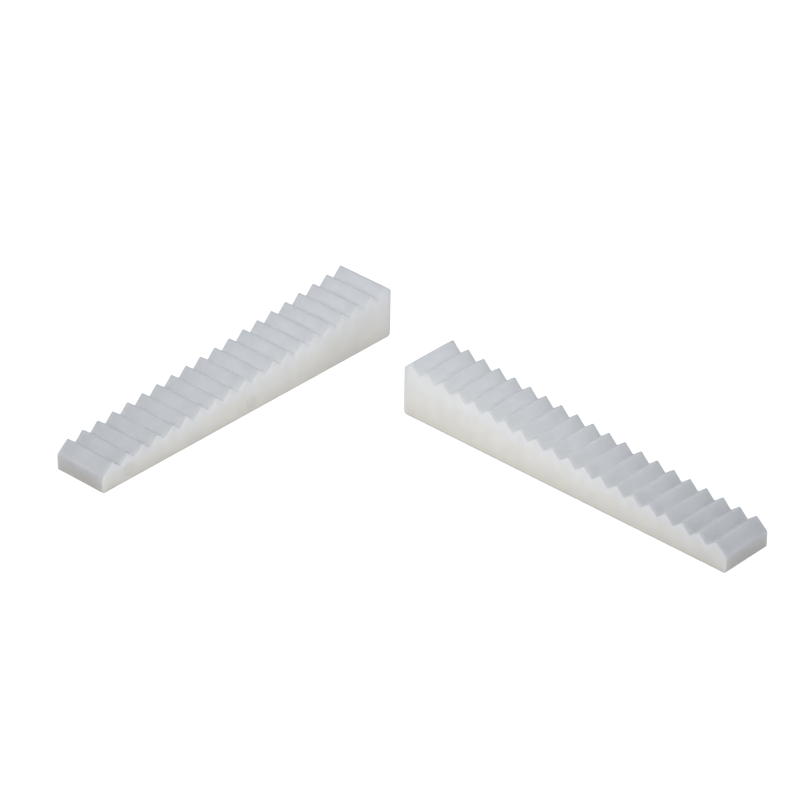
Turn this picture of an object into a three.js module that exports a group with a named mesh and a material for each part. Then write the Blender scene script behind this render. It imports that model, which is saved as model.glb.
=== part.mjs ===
import * as THREE from 'three';

// A pair of identical toothed wedges, each one solid moulding in natural plastic, lying teeth up.
// To use them, one wedge is turned over onto the other, thin end over thick end, so that the teeth
// mesh and the two flat bases stay parallel. Each tooth that one is driven along the other then
// lifts the upper base by the rise of one tooth.
//
// Millimetres, +Z up. The origin is on the surface they lie on, under the middle of the pair's box.
// +X runs along the left wedge and +Y along the right wedge, each from its thin end to its thick end.

// One wedge, seen from its side: its length runs from the thin end's face to the thick end's face.
const LENGTH = 100;
const WIDTH = 15.4;
const THIN_END_HEIGHT = 4.4;
const THICK_END_HEIGHT = 13.3;

// The teeth. Crests are given where the two flanks would meet if the crest weren't rounded.
const TOOTH_COUNT = 20;
const TOOTH_DEPTH = 2.3;
const THIN_END_TO_FIRST_CREST = 3.45;
const LAST_CREST_TO_THICK_END = 2.05;
const FIRST_CREST_HEIGHT = 7.25;
const LAST_CREST_HEIGHT = 15.0;
// The row of crests dips this far below a straight line at the middle tooth.
const CREST_LINE_SAG = 0.6;

// How far back from a corner its rounding starts, along both sides of the corner.
const CREST_ROUNDING = 0.4;
const END_ROUNDING = 0.4;
const HEEL_ROUNDING = 1.0;
const STEPS_PER_ROUNDING = 4;

// How the pair lies: the right wedge is square to the left one, with its thick end towards it.
const GAP_TO_LEFT_WEDGE = 26.9;
const RIGHT_WEDGE_OFFSET = 33.1;

const PITCH = (LENGTH - THIN_END_TO_FIRST_CREST - LAST_CREST_TO_THICK_END) / (TOOTH_COUNT - 1);
const PAIR_DEPTH = WIDTH + GAP_TO_LEFT_WEDGE + LENGTH;
const LEFT_WEDGE_Y = (PAIR_DEPTH - WIDTH) / 2;
const RIGHT_WEDGE_Y = (LENGTH - PAIR_DEPTH) / 2;

function crest(tooth) {
  const share = tooth / (TOOTH_COUNT - 1);
  const straight = THREE.MathUtils.lerp(FIRST_CREST_HEIGHT, LAST_CREST_HEIGHT, share);
  const dip = 4 * CREST_LINE_SAG * share * (1 - share);
  return new THREE.Vector2(THIN_END_TO_FIRST_CREST + tooth * PITCH, straight - dip);
}

// The root between a tooth and the next one up the slope lies midway between their crests.
function root(tooth) {
  const point = crest(tooth).lerp(crest(tooth + 1), 0.5);
  point.y -= TOOTH_DEPTH;
  return point;
}

// The corners of the side view, from the thin end's lower one round to its upper one.
function wedgeCorners() {
  const corners = [
    { at: new THREE.Vector2(0, 0), rounding: END_ROUNDING },
    { at: new THREE.Vector2(LENGTH, 0), rounding: HEEL_ROUNDING },
    { at: new THREE.Vector2(LENGTH, THICK_END_HEIGHT), rounding: END_ROUNDING },
    { at: crest(TOOTH_COUNT - 1), rounding: CREST_ROUNDING },
  ];
  for (let tooth = TOOTH_COUNT - 2; tooth >= 0; tooth--) {
    corners.push({ at: root(tooth), rounding: 0 });
    corners.push({ at: crest(tooth), rounding: CREST_ROUNDING });
  }
  corners.push({ at: new THREE.Vector2(0, THIN_END_HEIGHT), rounding: END_ROUNDING });
  return corners;
}

// A point on the line from one corner towards a neighbouring one, the given distance away.
function towards(corner, neighbour, distance) {
  return neighbour.clone().sub(corner).setLength(distance).add(corner);
}

function roundedOutline(corners) {
  const outline = new THREE.Shape();
  corners.forEach(({ at, rounding }, index) => {
    const before = corners.at(index - 1).at;
    const after = corners[(index + 1) % corners.length].at;
    const start = towards(at, before, rounding);
    const end = towards(at, after, rounding);
    if (index === 0) {
      outline.moveTo(start.x, start.y);
    } else {
      outline.lineTo(start.x, start.y);
    }
    if (rounding > 0) {
      outline.quadraticCurveTo(at.x, at.y, end.x, end.y);
    }
  });
  return outline;
}

// The side view extruded across the width, with its origin in the middle of the base.
function wedgeGeometry() {
  const geometry = new THREE.ExtrudeGeometry(roundedOutline(wedgeCorners()), {
    depth: WIDTH,
    bevelEnabled: false,
    curveSegments: STEPS_PER_ROUNDING,
  });
  geometry.rotateX(Math.PI / 2);
  geometry.translate(-LENGTH / 2, WIDTH / 2, 0);
  return geometry;
}

function wedge(name) {
  const naturalPlastic = new THREE.MeshStandardMaterial({
    color: 0xd3d7d8,
    roughness: 0.55,
    metalness: 0,
  });
  const mesh = new THREE.Mesh(wedgeGeometry(), naturalPlastic);
  mesh.name = name;
  return mesh;
}

const leftWedge = wedge('left_wedge');
leftWedge.position.set(0, LEFT_WEDGE_Y, 0);

const rightWedge = wedge('right_wedge');
rightWedge.rotation.z = Math.PI / 2;
rightWedge.position.set(RIGHT_WEDGE_OFFSET, RIGHT_WEDGE_Y, 0);

const wedgePair = new THREE.Group();
wedgePair.add(leftWedge, rightWedge);

export default wedgePair;
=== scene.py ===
"""A pair of identical toothed wedges in natural, milky white plastic, lying teeth up on a pale floor.

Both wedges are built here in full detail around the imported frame. Their overall size and place come
from the frame's own boxes. The wedges' dimensions are in millimetres, and the studio's in metres.
"""

import math

import bmesh
import bpy
import numpy as np
from mathutils import Matrix, Quaternion, Vector


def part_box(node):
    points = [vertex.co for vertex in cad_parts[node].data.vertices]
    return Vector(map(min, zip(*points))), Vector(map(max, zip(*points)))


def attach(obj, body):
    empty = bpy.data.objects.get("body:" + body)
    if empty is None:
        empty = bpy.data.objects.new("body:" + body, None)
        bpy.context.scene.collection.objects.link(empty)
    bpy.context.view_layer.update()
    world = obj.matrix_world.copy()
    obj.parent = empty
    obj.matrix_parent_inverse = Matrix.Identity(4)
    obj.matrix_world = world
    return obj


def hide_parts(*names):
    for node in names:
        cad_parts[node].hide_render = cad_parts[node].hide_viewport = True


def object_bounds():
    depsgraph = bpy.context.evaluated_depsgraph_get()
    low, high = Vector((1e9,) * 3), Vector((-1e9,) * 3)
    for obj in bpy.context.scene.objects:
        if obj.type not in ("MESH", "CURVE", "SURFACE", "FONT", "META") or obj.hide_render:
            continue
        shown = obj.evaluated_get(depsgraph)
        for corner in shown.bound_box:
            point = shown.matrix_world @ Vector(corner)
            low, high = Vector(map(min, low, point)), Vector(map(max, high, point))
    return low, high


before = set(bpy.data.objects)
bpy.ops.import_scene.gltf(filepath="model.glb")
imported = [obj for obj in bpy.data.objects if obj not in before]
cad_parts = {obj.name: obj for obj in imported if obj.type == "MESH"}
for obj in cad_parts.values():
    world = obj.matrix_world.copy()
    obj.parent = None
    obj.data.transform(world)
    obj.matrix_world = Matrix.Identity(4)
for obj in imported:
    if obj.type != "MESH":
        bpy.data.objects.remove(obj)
cad_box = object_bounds()

MM = 0.001

# The teeth, with crests given where the two flanks would meet if the crest weren't rounded.
TOOTH_COUNT = 20
TOOTH_DEPTH = 2.3
THIN_END_TO_FIRST_CREST = 3.45
LAST_CREST_TO_THICK_END = 2.05
FIRST_CREST_HEIGHT = 7.25
LAST_CREST_HEIGHT = 15.0
CREST_LINE_SAG = 0.6

# The two ends.
THIN_END_HEIGHT = 4.4
THICK_END_HEIGHT = 13.3

# How far back from a corner of the side view its rounding starts.
CREST_ROUNDING = 0.4
ROOT_ROUNDING = 0.3
END_ROUNDING = 0.45
THIN_TOP_ROUNDING = 0.6
HEEL_ROUNDING = 1.0

# The radius of the edges between the two side faces and the rest.
SIDE_EDGE_RADIUS = 0.1

# Round ejector marks, each (along, up), in the side that is on the right when looking from the
# thin end to the thick end.
EJECTOR_MARKS = ((8.8, 3.0), (50.4, 3.0))
EJECTOR_MARK_RADIUS = 1.9
EJECTOR_MARK_DEPTH = 0.12
EJECTOR_MARK_WALL = 0.5

# How finely the surface is divided.
STEPS_PER_CREST = 6
STEPS_PER_ROOT = 4
STEPS_PER_FLANK = 4
STEPS_PER_END_ROUNDING = 4
STEPS_PER_SIDE_EDGE = 3
ROWS_UP_THE_SIDE = 24
SLICES_ACROSS = 12
# Points of the mesh that are closer together than this become one.
WELD_DISTANCE = 0.001

# How light the plastic is painted, in linear light: its own milky white with painted light and shade,
# the teeth lighter towards the thick end, the side faces lighter than the teeth and painted shade at
# their foot. Each pair is for the thin end and the thick end.
TOOTH_TONES = (0.737, 0.904)
SIDE_FOOT_TONES = (0.745, 0.799)
SIDE_RIM_TONES = (0.797, 0.964)
# The thin end's face is painted darker than the side faces, as painted shade, and the thick end's is
# as light as they are. This pair is for the thin end's foot and its top edge.
THIN_END_TONES = (0.56, 0.65)
# Painted light on the side and end faces: warmer low down, as painted warm light from the floor, and
# a little cooler high up.
FOOT_PAINTED_LIGHT_TINT = (1.007, 0.98, 0.9)
RIM_PAINTED_LIGHT_TINT = (0.995, 1.0, 1.012)
# The teeth are painted lighter down in the grooves between them, as painted light against the shade
# there, by this share at the root: on the flank that faces the thick end and on the one that faces
# the thin end. The one share gives way to the other between these two places, where 0 and 1 are the
# crests and 0.5 is the root.
GROOVE_PAINTED_LIGHT_SHARES = (0.20, 0.13)
GROOVE_BLEND = (0.4, 0.6)
# The teeth are painted darker towards the two side faces, as painted shade, by this share at the very
# edge.
TOOTH_EDGE_SHADE = 0.14
# Painted shade in the ejector marks, darker on their floor and round their wall.
MARK_FLOOR_SHADE = 0.03
MARK_WALL_SHADE = 0.15
# How far over the surface's normal leans, from 0 upright to 1 level, where the tone of a side face
# sets in and where it is full. The second pair is the same for an end face.
SIDE_LEAN = (0.3, 0.8)
END_LEAN = (0.8, 0.97)

# Faint clouds in the plastic: their share of the tone, and how big they are.
CLOUD_STRENGTH = 0.025
CLOUD_SIZE = 3.0
# The fine grain and the slow waves of the moulded surface: how big across and how high.
GRAIN_SIZE = 0.35
GRAIN_HEIGHT = 0.012
WAVE_SIZE = 9.0
WAVE_HEIGHT = 0.03
# From the glossiest to the dullest parts of the grain.
ROUGHNESS_RANGE = (0.48, 0.62)
# Most of a noise pattern's values lie between these.
NOISE_MIDDLE = (0.3, 0.7)
# How far light wanders inside the plastic.
SCATTER_DISTANCE = 5.5

# The camera: where it stands as seen from the point it looks at, which is given from the middle of
# the base of the pair's box. Its lens and sensor are in millimetres.
CAMERA_AIM = Vector((0.0293, 0.03355, 0))
CAMERA_AZIMUTH = math.radians(-48.2)
CAMERA_ELEVATION = math.radians(32.0)
CAMERA_ROLL = math.radians(1.1)
CAMERA_DISTANCE = 1.1
CAMERA_LENS = 203.3
CAMERA_SENSOR = 36
CAMERA_CLIP_END = 100

FLOOR_SIZE = 8.0
# How far the floor lies below the wedges.
FLOOR_GAP = 0.05 * MM
# What the camera sees of the floor, which comes out pure white.
FLOOR_SEEN = (0.9, 0.9, 0.9)
FLOOR_SEEN_ROUGHNESS = 0.9
FLOOR_SEEN_GLOW_STRENGTH = 0.75
# What the wedges get from the floor: the share of light it throws back, and its own faint glow.
FLOOR_BOUNCE = (0.8, 0.78, 0.72)
FLOOR_GLOW = (1.17, 1.08, 1.09)
FLOOR_GLOW_STRENGTH = 0.151

SKY_COLOUR = (0.86, 0.97, 1.09)
SKY_STRENGTH = 0.345

# Softboxes, all aimed at the middle of the pair: azimuth and elevation in degrees, watts, colour.
SOFTBOX_DISTANCE = 2.0
SOFTBOX_SIZE = 1.0
SOFTBOXES = {
    "camera_softbox": (-48, 25, 6.18, (1.03, 0.97, 1.02)),
    "right_softbox": (0, 40, 1.39, (1.0, 1.0, 1.0)),
    "low_right_softbox": (0, 15, 2.18, (0.93, 0.98, 1.05)),
    "back_softbox": (135, 16, 1.7, (1.0, 1.0, 1.0)),
    "back_left_softbox": (-140, 40, 5.64, (1.04, 1.02, 1.03)),
}
# Small fill lights near the wedges: place and aim from the middle of the pair's base, size, watts,
# colour.
FILL_LIGHTS = {
    "inner_fill": ((-0.06, -0.06, 0.10), (0.03, 0.03, 0), 0.06, 0.0157, (1.08, 1.02, 0.94)),
    "low_fill": ((-0.06, 0.0, 0.06), (0.03, 0.03, 0), 0.05, 0.0052, (1.02, 1.03, 0.96)),
    "low_left_fill": ((-0.16, 0.0, 0.04), (0.03, 0, 0), 0.08, 0.0049, (0.99, 0.98, 1.0)),
    "right_fill": ((0.0, -0.02, 0.08), (0.045, 0.04, 0), 0.05, 0.0036, (1.14, 1.1, 0.9)),
}


def lerp(low, high, share):
    return low + (high - low) * share


# ---------------------------------------------------------------- the side view


def pitch_of(length):
    return (length - THIN_END_TO_FIRST_CREST - LAST_CREST_TO_THICK_END) / (TOOTH_COUNT - 1)


def crest(tooth, pitch):
    """The unrounded crest of a tooth, as (along, up)."""
    share = tooth / (TOOTH_COUNT - 1)
    dip = 4 * CREST_LINE_SAG * share * (1 - share)
    up = lerp(FIRST_CREST_HEIGHT, LAST_CREST_HEIGHT, share) - dip
    return Vector((THIN_END_TO_FIRST_CREST + tooth * pitch, up))


def root(tooth, pitch):
    """The unrounded root between a tooth and the next one up the slope."""
    middle = (crest(tooth, pitch) + crest(tooth + 1, pitch)) / 2
    return middle - Vector((0, TOOTH_DEPTH))


def rounded_corner(before, corner, after, rounding, steps):
    """Points on the curve that rounds a corner, from the side of before to the side of after."""
    start = corner + (before - corner).normalized() * rounding
    end = corner + (after - corner).normalized() * rounding
    points = []
    for step in range(steps + 1):
        t = step / steps
        points.append(start * (1 - t) ** 2 + corner * 2 * t * (1 - t) + end * t**2)
    return points


def straight(start, end, steps):
    """The points that divide a straight line, without its ends."""
    return [start.lerp(end, step / steps) for step in range(1, steps)]


def side_view(length):
    """The outline's four sides, each a list of points: base and top run from the thin end to the
    thick end, and the two ends run upwards. Neighbouring sides share their corner point."""
    pitch = pitch_of(length)
    thin_top = Vector((0, THIN_END_HEIGHT))
    thick_top = Vector((length, THICK_END_HEIGHT))
    thin_base = Vector((0, 0))
    thick_base = Vector((length, 0))

    peaks = [thin_top]
    for tooth in range(TOOTH_COUNT):
        peaks.append(crest(tooth, pitch))
        if tooth < TOOTH_COUNT - 1:
            peaks.append(root(tooth, pitch))
    peaks.append(thick_top)

    def end_corner(before, corner, after, rounding=END_ROUNDING):
        return rounded_corner(before, corner, after, rounding, STEPS_PER_END_ROUNDING)

    thin_top_curve = end_corner(thin_base, thin_top, peaks[1], THIN_TOP_ROUNDING)
    thick_top_curve = end_corner(thick_base, thick_top, peaks[-2])
    thin_base_curve = end_corner(thick_base, thin_base, thin_top)
    thick_base_curve = end_corner(thin_base, thick_base, thick_top, HEEL_ROUNDING)

    top = [thin_top_curve[-1]]
    for index in range(1, len(peaks) - 1):
        is_crest = index % 2 == 1
        rounding = CREST_ROUNDING if is_crest else ROOT_ROUNDING
        steps = STEPS_PER_CREST if is_crest else STEPS_PER_ROOT
        curve = rounded_corner(peaks[index - 1], peaks[index], peaks[index + 1], rounding, steps)
        top += straight(top[-1], curve[0], STEPS_PER_FLANK) + curve
    top += straight(top[-1], thick_top_curve[-1], STEPS_PER_FLANK) + [thick_top_curve[-1]]

    base_start = thin_base_curve[0]
    base_end = thick_base_curve[0]
    base = []
    for point in top:
        share = (point.x - top[0].x) / (top[-1].x - top[0].x)
        base.append(base_start.lerp(base_end, share))

    face_steps = ROWS_UP_THE_SIDE - 2 * STEPS_PER_END_ROUNDING
    thin_end = thin_base_curve + straight(thin_base_curve[-1], thin_top_curve[0], face_steps)
    thin_end += thin_top_curve
    thick_end = thick_base_curve + straight(thick_base_curve[-1], thick_top_curve[0], face_steps)
    thick_end += thick_top_curve
    return {"base": base, "top": top, "thin_end": thin_end, "thick_end": thick_end}


def ring_of(sides):
    """The closed outline, counter-clockwise from the base's thin end, without repeated points."""
    ring = sides["base"][:-1] + sides["thick_end"][:-1]
    return ring + sides["top"][:0:-1] + sides["thin_end"][:0:-1]


def inset(ring, distance):
    """The outline moved inwards by a distance, each point along its own normal."""
    moved = []
    for index, point in enumerate(ring):
        along = ring[(index + 1) % len(ring)] - ring[index - 1]
        inward = Vector((-along.y, along.x)).normalized()
        moved.append(point + inward * distance)
    return moved


def sides_of(ring, sides):
    """The four sides of an inset outline, divided as the sides of the outline are."""
    columns = len(sides["base"]) - 1
    rows = len(sides["thin_end"]) - 1
    closed = ring + ring[:1]
    thick = closed[columns : columns + rows + 1]
    top = closed[columns + rows : 2 * columns + rows + 1][::-1]
    thin = closed[2 * columns + rows :][::-1]
    return {"base": closed[: columns + 1], "thick_end": thick, "top": top, "thin_end": thin}


# ---------------------------------------------------------------- colour and painted light and shade over the wedge


def smooth_step(low, high, value):
    share = min(max((value - low) / (high - low), 0), 1)
    return share * share * (3 - 2 * share)


def painted_groove_light_at(along, length):
    """How much painted light makes a tooth lighter here than on its crest, as a share."""
    tooth = (along - THIN_END_TO_FIRST_CREST) / pitch_of(length)
    if not 0 < tooth < TOOTH_COUNT - 1:
        return 0
    past_crest = tooth % 1
    down = 1 - abs(2 * past_crest - 1)
    return lerp(*GROOVE_PAINTED_LIGHT_SHARES, smooth_step(*GROOVE_BLEND, past_crest)) * down**2


def ejector_mark_at(along, up):
    """How far down a point of the side face is in an ejector mark, from 0 outside to 1 on its floor,
    and how much painted shade the mark's wall gets: most halfway down, on the side of the thin end."""
    at_x, at_z = min(EJECTOR_MARKS, key=lambda mark: math.hypot(along - mark[0], up - mark[1]))
    away = math.hypot(along - at_x, up - at_z)
    down = 1 - smooth_step(EJECTOR_MARK_RADIUS - EJECTOR_MARK_WALL, EJECTOR_MARK_RADIUS, away)
    towards_thin_end = (1 - (along - at_x) / EJECTOR_MARK_RADIUS) / 2
    return down, 4 * down * (1 - down) * towards_thin_end


def tone_at(place, normal, length, width, skyline):
    """The colour painted at a point of the surface, the plastic's own with painted light and shade,
    as red, green, blue in linear light. The skyline is the top of the side view, as a list of places
    along and one of heights."""
    along = place.x / length
    height = np.interp(place.x, *skyline)
    rise = min(max(place.z / height, 0), 1)
    # Painted shade at the foot of the side faces, and painted light towards their rim and the thick
    # end.
    side = lerp(lerp(*SIDE_FOOT_TONES, along), lerp(*SIDE_RIM_TONES, along), rise)
    if place.y < 0:
        # Painted shade in the ejector marks: on their floor and on the thin end's side of their wall.
        floor, wall = ejector_mark_at(place.x, place.z)
        side *= 1 - MARK_FLOOR_SHADE * floor - MARK_WALL_SHADE * wall
    # Painted light in the grooves between the teeth.
    tooth = lerp(*TOOTH_TONES, along) * (1 + painted_groove_light_at(place.x, length))
    # Painted shade towards both side edges of the teeth.
    tooth *= 1 - TOOTH_EDGE_SHADE * (2 * place.y / width) ** 2
    sideways = max(smooth_step(*SIDE_LEAN, abs(normal.y)), smooth_step(*END_LEAN, normal.x))
    endways = smooth_step(*END_LEAN, -normal.x)
    # The thin end's face takes its painted shade here.
    tone = lerp(lerp(tooth, lerp(*THIN_END_TONES, rise), endways), side, sideways)
    upright = max(sideways, endways)
    # Painted light: warm low down and a little cooler high up on the upright faces.
    painted_light_tint = [lerp(1, lerp(foot, rim, rise), upright) for foot, rim in zip(FOOT_PAINTED_LIGHT_TINT, RIM_PAINTED_LIGHT_TINT)]
    return [tone * channel for channel in painted_light_tint]


def paint_tones(data, length, width, top):
    """Stores the colour of each vertex in the mesh, with its painted light and shade, as the
    attribute that the material reads.
    """
    tones = data.color_attributes.new("tone", "FLOAT_COLOR", "POINT")
    skyline = [point.x for point in top], [point.y for point in top]
    for vertex, stored in zip(data.vertices, tones.data):
        place = vertex.co / MM + Vector((length / 2, 0, 0))
        stored.color = (*tone_at(place, vertex.normal, length, width, skyline), 1)


# ---------------------------------------------------------------- one wedge


def slices(width):
    """(across, inset) of each cross-section, from one side face to the other."""
    half = width / 2
    flat = half - SIDE_EDGE_RADIUS
    edge = []
    for step in range(STEPS_PER_SIDE_EDGE + 1):
        angle = math.pi / 2 * step / STEPS_PER_SIDE_EDGE
        across = flat + SIDE_EDGE_RADIUS * math.cos(angle)
        edge.append((across, SIDE_EDGE_RADIUS * (1 - math.sin(angle))))
    middle = [(lerp(-flat, flat, step / SLICES_ACROSS), 0) for step in range(1, SLICES_ACROSS)]
    return [(-across, depth) for across, depth in edge] + middle + edge[::-1]


def add_grid(mesh, rows, flip):
    """Adds a sheet of quads through rows of points."""
    made = [[mesh.verts.new(point) for point in row] for row in rows]
    for lower, upper in zip(made, made[1:]):
        for index in range(len(lower) - 1):
            corners = [lower[index], lower[index + 1], upper[index + 1], upper[index]]
            mesh.faces.new(corners[::-1] if flip else corners)


def side_face(sides, across, marked):
    """Rows of points over a side face: each column runs from the base up to the teeth."""
    columns = len(sides["base"]) - 1
    rows = len(sides["thin_end"]) - 1
    sheet = []
    for row in range(rows + 1):
        v = row / rows
        points = []
        for column in range(columns + 1):
            u = column / columns
            upright = sides["base"][column].lerp(sides["top"][column], v)
            level = sides["thin_end"][row].lerp(sides["thick_end"][row], u)
            low = sides["base"][0].lerp(sides["base"][-1], u)
            high = sides["top"][0].lerp(sides["top"][-1], u)
            point = upright + level - low.lerp(high, v)
            inwards = EJECTOR_MARK_DEPTH * ejector_mark_at(point.x, point.y)[0] if marked else 0
            points.append(Vector((point.x, across - math.copysign(inwards, across), point.y)))
        sheet.append(points)
    return sheet


def wedge_mesh(name, length, width):
    """A wedge in its own frame, its origin mid-length and mid-width on its base."""
    outline = side_view(length)
    ring = ring_of(outline)
    mesh = bmesh.new()
    sections = []
    for across, depth in slices(width):
        section = inset(ring, depth)
        sections.append([Vector((point.x, across, point.y)) for point in section + section[:1]])
    add_grid(mesh, sections, flip=False)
    inner = sides_of(inset(ring, SIDE_EDGE_RADIUS), outline)
    add_grid(mesh, side_face(inner, -width / 2, marked=True), flip=False)
    add_grid(mesh, side_face(inner, width / 2, marked=False), flip=True)
    bmesh.ops.remove_doubles(mesh, verts=mesh.verts, dist=WELD_DISTANCE)
    bmesh.ops.recalc_face_normals(mesh, faces=mesh.faces)
    for vert in mesh.verts:
        vert.co.x -= length / 2
    bmesh.ops.scale(mesh, vec=(MM, MM, MM), verts=mesh.verts)
    for face in mesh.faces:
        face.smooth = True
    data = bpy.data.meshes.new(name)
    mesh.to_mesh(data)
    mesh.free()
    paint_tones(data, length, width, outline["top"])
    return data


def place_wedge(node, turn, material):
    """Builds the wedge that stands for a CAD node, in that node's box, turned about +Z."""
    low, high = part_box(node)
    size = (high - low) / MM
    length, width = max(size.x, size.y), min(size.x, size.y)
    data = wedge_mesh(node + "_moulding", length, width)
    base_centre = Vector(((low.x + high.x) / 2, (low.y + high.y) / 2, low.z))
    data.transform(Matrix.Translation(base_centre) @ Matrix.Rotation(turn, 4, "Z"))
    data.materials.append(material)
    piece = bpy.data.objects.new(node + "_moulding", data)
    bpy.context.scene.collection.objects.link(piece)
    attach(piece, node)
    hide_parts(node)


# ---------------------------------------------------------------- materials


def new_material(name):
    material = bpy.data.materials.new(name)
    material.use_nodes = True
    return material, material.node_tree.nodes, material.node_tree.links


def noise(nodes, links, place, size, detail):
    """A noise pattern whose patches are about a size across."""
    pattern = nodes.new("ShaderNodeTexNoise")
    pattern.inputs["Scale"].default_value = 1 / (size * MM)
    pattern.inputs["Detail"].default_value = detail
    links.new(place, pattern.inputs["Vector"])
    return pattern.outputs["Fac"]


def spread(nodes, links, value, low, high):
    """Maps the middle of a noise pattern's values onto low to high."""
    mapped = nodes.new("ShaderNodeMapRange")
    links.new(value, mapped.inputs["Value"])
    mapped.inputs["From Min"].default_value = NOISE_MIDDLE[0]
    mapped.inputs["From Max"].default_value = NOISE_MIDDLE[1]
    mapped.inputs["To Min"].default_value = low
    mapped.inputs["To Max"].default_value = high
    return mapped.outputs["Result"]


def bump(nodes, links, height, reach, underneath):
    """A bump of the surface by a pattern, on top of another bump if there is one."""
    relief = nodes.new("ShaderNodeBump")
    relief.inputs["Distance"].default_value = reach * MM
    links.new(height, relief.inputs["Height"])
    if underneath:
        links.new(underneath, relief.inputs["Normal"])
    return relief.outputs["Normal"]


def natural_plastic():
    """Milky plastic: the tone stored in the mesh, which holds painted light and shade, faintly
    cloudy, with a fine moulded grain.
    """
    material, nodes, links = new_material("natural_plastic")
    shader = nodes["Principled BSDF"]
    tone = nodes.new("ShaderNodeVertexColor")
    tone.layer_name = "tone"
    place = nodes.new("ShaderNodeTexCoord").outputs["Object"]

    clouds = noise(nodes, links, place, CLOUD_SIZE, detail=3)
    lightness = spread(nodes, links, clouds, 1 - CLOUD_STRENGTH, 1 + CLOUD_STRENGTH)
    clouded = nodes.new("ShaderNodeVectorMath")
    clouded.operation = "SCALE"
    links.new(tone.outputs["Color"], clouded.inputs["Vector"])
    links.new(lightness, clouded.inputs["Scale"])
    links.new(clouded.outputs["Vector"], shader.inputs["Base Color"])

    grain = noise(nodes, links, place, GRAIN_SIZE, detail=2)
    waves = noise(nodes, links, place, WAVE_SIZE, detail=1)
    relief = bump(nodes, links, waves, WAVE_HEIGHT, None)
    relief = bump(nodes, links, grain, GRAIN_HEIGHT, relief)
    links.new(relief, shader.inputs["Normal"])
    links.new(spread(nodes, links, grain, *ROUGHNESS_RANGE), shader.inputs["Roughness"])

    shader.inputs["Subsurface Weight"].default_value = 1.0
    shader.inputs["Subsurface Radius"].default_value = (1.0, 1.0, 1.0)
    shader.inputs["Subsurface Scale"].default_value = SCATTER_DISTANCE * MM
    return material


def floor_material():
    """Pure white to look at. It lights the wedges from below as a faintly glowing, warm white
    tabletop would, so that their feet stay light."""
    material, nodes, links = new_material("pale_floor")
    seen = nodes["Principled BSDF"]
    seen.inputs["Base Color"].default_value = (*FLOOR_SEEN, 1)
    seen.inputs["Roughness"].default_value = FLOOR_SEEN_ROUGHNESS
    seen.inputs["Emission Color"].default_value = (1, 1, 1, 1)
    seen.inputs["Emission Strength"].default_value = FLOOR_SEEN_GLOW_STRENGTH
    bounce = nodes.new("ShaderNodeBsdfPrincipled")
    bounce.inputs["Base Color"].default_value = (*FLOOR_BOUNCE, 1)
    bounce.inputs["Specular IOR Level"].default_value = 0
    bounce.inputs["Roughness"].default_value = 1.0
    bounce.inputs["Emission Color"].default_value = (*FLOOR_GLOW, 1)
    bounce.inputs["Emission Strength"].default_value = FLOOR_GLOW_STRENGTH
    ray = nodes.new("ShaderNodeLightPath")
    mix = nodes.new("ShaderNodeMixShader")
    links.new(ray.outputs["Is Camera Ray"], mix.inputs[0])
    links.new(bounce.outputs["BSDF"], mix.inputs[1])
    links.new(seen.outputs["BSDF"], mix.inputs[2])
    links.new(mix.outputs["Shader"], nodes["Material Output"].inputs["Surface"])
    return material


# ---------------------------------------------------------------- studio


def direction(azimuth, elevation):
    """The unit vector at an azimuth, from -Y towards +X, and an elevation."""
    level = math.cos(elevation)
    return Vector((math.sin(azimuth) * level, -math.cos(azimuth) * level, math.sin(elevation)))


def base_middle():
    """The middle of the base of the pair's box."""
    low, high = cad_box
    return Vector(((low.x + high.x) / 2, (low.y + high.y) / 2, low.z))


def add_camera():
    data = bpy.data.cameras.new("camera")
    data.sensor_width = CAMERA_SENSOR
    data.lens = CAMERA_LENS
    data.clip_end = CAMERA_CLIP_END
    camera = bpy.data.objects.new("camera", data)
    back = direction(CAMERA_AZIMUTH, CAMERA_ELEVATION)
    camera.location = base_middle() + CAMERA_AIM + back * CAMERA_DISTANCE
    camera.rotation_mode = "QUATERNION"
    upright = (-back).to_track_quat("-Z", "Y")
    camera.rotation_quaternion = upright @ Quaternion((0, 0, 1), CAMERA_ROLL)
    bpy.context.scene.collection.objects.link(camera)
    bpy.context.scene.camera = camera


def add_floor():
    data = bpy.data.meshes.new("floor")
    half = FLOOR_SIZE / 2
    level = cad_box[0].z - FLOOR_GAP
    corners = [(-half, -half, level), (half, -half, level), (half, half, level), (-half, half, level)]
    data.from_pydata(corners, [], [(0, 1, 2, 3)])
    data.materials.append(floor_material())
    floor = bpy.data.objects.new("floor", data)
    bpy.context.scene.collection.objects.link(floor)


def add_soft_light(name, place, aim, size, power, colour):
    """A round soft light that the camera doesn't see, its place and aim given from the middle of
    the pair's base."""
    data = bpy.data.lights.new(name, "AREA")
    data.shape = "DISK"
    data.size = size
    data.energy = power
    data.color = colour
    light = bpy.data.objects.new(name, data)
    light.location = base_middle() + place
    light.rotation_mode = "QUATERNION"
    light.rotation_quaternion = (aim - place).to_track_quat("-Z", "Y")
    light.visible_camera = False
    bpy.context.scene.collection.objects.link(light)


def add_lights():
    for name, (azimuth, elevation, power, colour) in SOFTBOXES.items():
        place = direction(math.radians(azimuth), math.radians(elevation)) * SOFTBOX_DISTANCE
        add_soft_light(name, place, Vector((0, 0, 0)), SOFTBOX_SIZE, power, colour)
    for name, (place, aim, size, power, colour) in FILL_LIGHTS.items():
        add_soft_light(name, Vector(place), Vector(aim), size, power, colour)


def add_world(colour, strength):
    world = bpy.data.worlds.new("soft_sky")
    world.use_nodes = True
    background = world.node_tree.nodes["Background"]
    background.inputs["Color"].default_value = (*colour, 1)
    background.inputs["Strength"].default_value = strength
    bpy.context.scene.world = world


add_camera()
add_floor()
add_world(SKY_COLOUR, SKY_STRENGTH)
add_lights()

plastic = natural_plastic()
place_wedge("left_wedge", 0, plastic)
place_wedge("right_wedge", math.pi / 2, plastic)

bpy.context.scene.view_settings.view_transform = "Standard"
